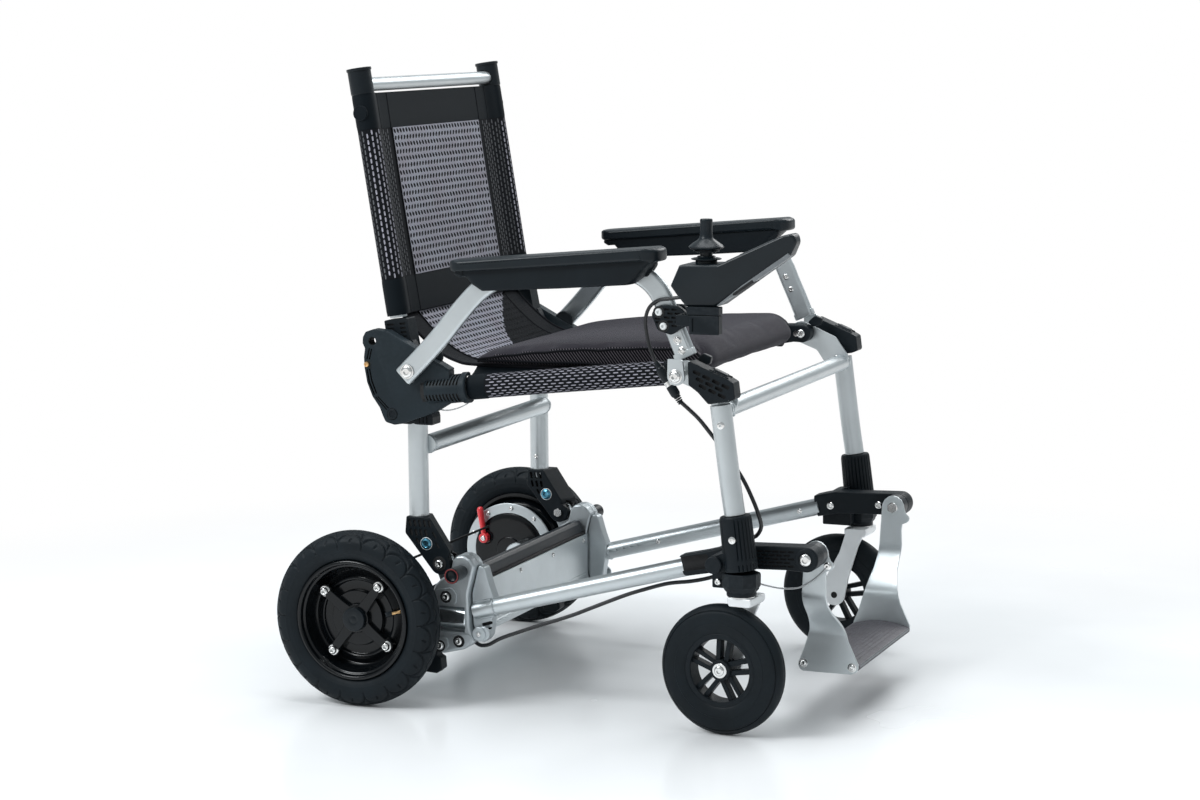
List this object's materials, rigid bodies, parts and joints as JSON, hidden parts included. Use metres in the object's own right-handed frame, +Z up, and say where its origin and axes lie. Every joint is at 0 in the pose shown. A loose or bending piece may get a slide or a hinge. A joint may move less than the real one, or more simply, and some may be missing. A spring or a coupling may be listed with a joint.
{
  "type": "folding power wheelchair",
  "caption": "Folding power wheelchair: parallelogram frame, hub-motor drive wheels, swivel casters, mesh seat and back, flip-up armrests, joystick controller, swing footrest",
  "frame": {"origin": "on the floor under the centre of the chair's bounding box", "axes": "+X towards the front (footrest), +Y to the user's left, +Z up"},
  "size_m": [0.8284, 0.6436, 0.9142],
  "materials": {
    "satin_aluminium": "satin",
    "black_plastic": "satin moulded",
    "soft_black": "fine textured",
    "tyre_rubber": "satin rubber",
    "black_rim": "gloss",
    "mesh_fabric": "spacer mesh",
    "cushion_fabric": "woven",
    "bright_steel": "polished",
    "red_lever": "gloss",
    "battery_case": "fine textured",
    "footplate_grey": "matte non-slip",
    "cable_black": "satin"
  },
  "bodies": {
    "base": {"base_tube_R": "satin_aluminium", "base_tube_L": "satin_aluminium", "drive_casting_R": "satin_aluminium", "drive_casting_L": "satin_aluminium", "hub_motor_R": "black_plastic", "hub_motor_L": "black_plastic", "battery_tray": "satin_aluminium", "front_fitting_R": "black_plastic", "front_fitting_L": "black_plastic", "controller_cable": "cable_black", "footrest_lanyard": "bright_steel"},
    "battery": {"battery": "battery_case"},
    "lever_R": {"freewheel_lever_R": "red_lever"},
    "lever_L": {"freewheel_lever_L": "red_lever"},
    "knob_R": {"release_knob_R": "soft_black"},
    "knob_L": {"release_knob_L": "soft_black"},
    "rear_legs": {"rear_leg_frame": "satin_aluminium", "rear_bracket_R": "black_plastic", "rear_bracket_L": "black_plastic"},
    "front_legs": {"front_leg_frame": "satin_aluminium", "leg_sleeve_R": "black_plastic", "leg_sleeve_L": "black_plastic", "leg_bracket_R": "black_plastic", "leg_bracket_L": "black_plastic"},
    "latch_R": {"latch_button_R": "soft_black"},
    "latch_L": {"latch_button_L": "soft_black"},
    "seat": {"seat_rail_R": "mesh_fabric", "seat_rail_L": "mesh_fabric", "hinge_plate_R": "black_plastic", "hinge_plate_L": "black_plastic", "hook_plate_R": "satin_aluminium", "hook_plate_L": "satin_aluminium", "seat_cushion": "cushion_fabric", "seat_sling": "mesh_fabric"},
    "backrest": {"back_frame": "satin_aluminium", "post_foot_R": "black_plastic", "post_foot_L": "black_plastic", "back_mesh": "mesh_fabric"},
    "armrest_R": {"arm_bar_R": "satin_aluminium", "arm_pad_R": "soft_black", "controller_clamp": "black_plastic", "controller_housing": "soft_black"},
    "armrest_L": {"arm_bar_L": "satin_aluminium", "arm_pad_L": "soft_black"},
    "gimbal": {"joystick_gimbal": "bright_steel"},
    "stick": {"joystick_knob": "soft_black"},
    "power_button": {"power_button": "soft_black"},
    "footrest": {"foot_side_R": "satin_aluminium", "foot_side_L": "satin_aluminium", "footplate": "footplate_grey"},
    "wheel_R": {"rear_tyre_R": "tyre_rubber", "rear_rim_R": "black_rim"},
    "wheel_L": {"rear_tyre_L": "tyre_rubber", "rear_rim_L": "black_rim"},
    "swivel_R": {"caster_fork_R": "satin_aluminium"},
    "swivel_L": {"caster_fork_L": "satin_aluminium"},
    "caster_R": {"caster_tyre_R": "tyre_rubber", "caster_rim_R": "black_rim"},
    "caster_L": {"caster_tyre_L": "tyre_rubber", "caster_rim_L": "black_rim"}
  },
  "joints": [
    {"name": "rear_fold", "type": "hinge", "parent": "base", "child": "rear_legs", "pos_m": [-0.18345, 0, 0.2024], "axis": [0, 1, 0], "range_deg": [-66, 0], "deforming": ["controller_cable"]},
    {"name": "seat_fold", "type": "hinge", "parent": "rear_legs", "child": "seat", "pos_m": [-0.23785, 0, 0.4598], "axis": [0, 1, 0], "range_deg": [0, 66]},
    {"name": "front_fold", "type": "hinge", "parent": "base", "child": "front_legs", "pos_m": [0.25715, 0, 0.2416], "axis": [0, 1, 0], "range_deg": [-66, 0]},
    {"name": "backrest_fold", "type": "hinge", "parent": "seat", "child": "backrest", "pos_m": [-0.21425, 0, 0.4845], "axis": [0, -1, 0], "range_deg": [-92, 0], "deforming": ["seat_cushion"]},
    {"name": "armrest_R_flip", "type": "hinge", "parent": "seat", "child": "armrest_R", "pos_m": [-0.21425, -0.2657, 0.4845], "axis": [0, -1, 0], "range_deg": [0, 95], "deforming": ["controller_cable"]},
    {"name": "armrest_L_flip", "type": "hinge", "parent": "seat", "child": "armrest_L", "pos_m": [-0.21425, 0.2657, 0.4845], "axis": [0, -1, 0], "range_deg": [0, 95]},
    {"name": "joystick_side", "type": "hinge", "parent": "armrest_R", "child": "gimbal", "pos_m": [0.24275, -0.286, 0.66], "axis": [1, 0, 0], "range_deg": [-18, 18], "stiffness_Nm_per_rad": 0.2},
    {"name": "joystick_forward", "type": "hinge", "parent": "gimbal", "child": "stick", "pos_m": [0.24275, -0.286, 0.66], "axis": [0, 1, 0], "range_deg": [-18, 18], "stiffness_Nm_per_rad": 0.2},
    {"name": "power_button_press", "type": "slide", "parent": "armrest_R", "child": "power_button", "axis": [0.4158, 0, -0.9095], "range_m": [0, 0.0012], "stiffness_N_per_m": 600},
    {"name": "latch_R_press", "type": "slide", "parent": "front_legs", "child": "latch_R", "axis": [-0.38, 0, -0.925], "range_m": [0, 0.003], "stiffness_N_per_m": 600},
    {"name": "latch_L_press", "type": "slide", "parent": "front_legs", "child": "latch_L", "axis": [-0.38, 0, -0.925], "range_m": [0, 0.003], "stiffness_N_per_m": 600},
    {"name": "release_knob_R_pull", "type": "slide", "parent": "base", "child": "knob_R", "axis": [0, -1, 0], "range_m": [0, 0.008], "stiffness_N_per_m": 600},
    {"name": "release_knob_L_pull", "type": "slide", "parent": "base", "child": "knob_L", "axis": [0, 1, 0], "range_m": [0, 0.008], "stiffness_N_per_m": 600},
    {"name": "freewheel_lever_R_turn", "type": "hinge", "parent": "base", "child": "lever_R", "pos_m": [-0.32725, -0.237, 0.1465], "axis": [0, 1, 0], "range_deg": [0, 35]},
    {"name": "freewheel_lever_L_turn", "type": "hinge", "parent": "base", "child": "lever_L", "pos_m": [-0.32725, 0.237, 0.1465], "axis": [0, 1, 0], "range_deg": [0, 35]},
    {"name": "battery_lift", "type": "slide", "parent": "base", "child": "battery", "axis": [0, 0, 1], "range_m": [0, 0.15]},
    {"name": "footrest_fold", "type": "hinge", "parent": "base", "child": "footrest", "pos_m": [0.36975, 0, 0.2455], "axis": [0, -1, 0], "range_deg": [-85, 0], "deforming": ["footrest_lanyard"]},
    {"name": "drive_wheel_R_spin", "type": "hinge", "parent": "base", "child": "wheel_R", "pos_m": [-0.28675, -0.2973, 0.1275], "axis": [0, 1, 0], "continuous": true},
    {"name": "drive_wheel_L_spin", "type": "hinge", "parent": "base", "child": "wheel_L", "pos_m": [-0.28675, 0.2973, 0.1275], "axis": [0, 1, 0], "continuous": true},
    {"name": "caster_R_swivel", "type": "hinge", "parent": "base", "child": "swivel_R", "pos_m": [0.29095, -0.2813, 0.1975], "axis": [0, 0, 1], "continuous": true},
    {"name": "caster_R_spin", "type": "hinge", "parent": "swivel_R", "child": "caster_R", "pos_m": [0.26157, -0.27276, 0.0915], "axis": [0.0854, 0.9963, 0], "continuous": true},
    {"name": "caster_L_swivel", "type": "hinge", "parent": "base", "child": "swivel_L", "pos_m": [0.29095, 0.2813, 0.1975], "axis": [0, 0, 1], "continuous": true},
    {"name": "caster_L_spin", "type": "hinge", "parent": "swivel_L", "child": "caster_L", "pos_m": [0.26076, 0.27635, 0.0915], "axis": [0.0349, 0.9994, 0], "continuous": true}
  ],
  "couplings": [
    {"joint": "seat_fold", "follows": "rear_fold", "ratio": -1},
    {"joint": "front_fold", "follows": "rear_fold", "ratio": 1}
  ]
}
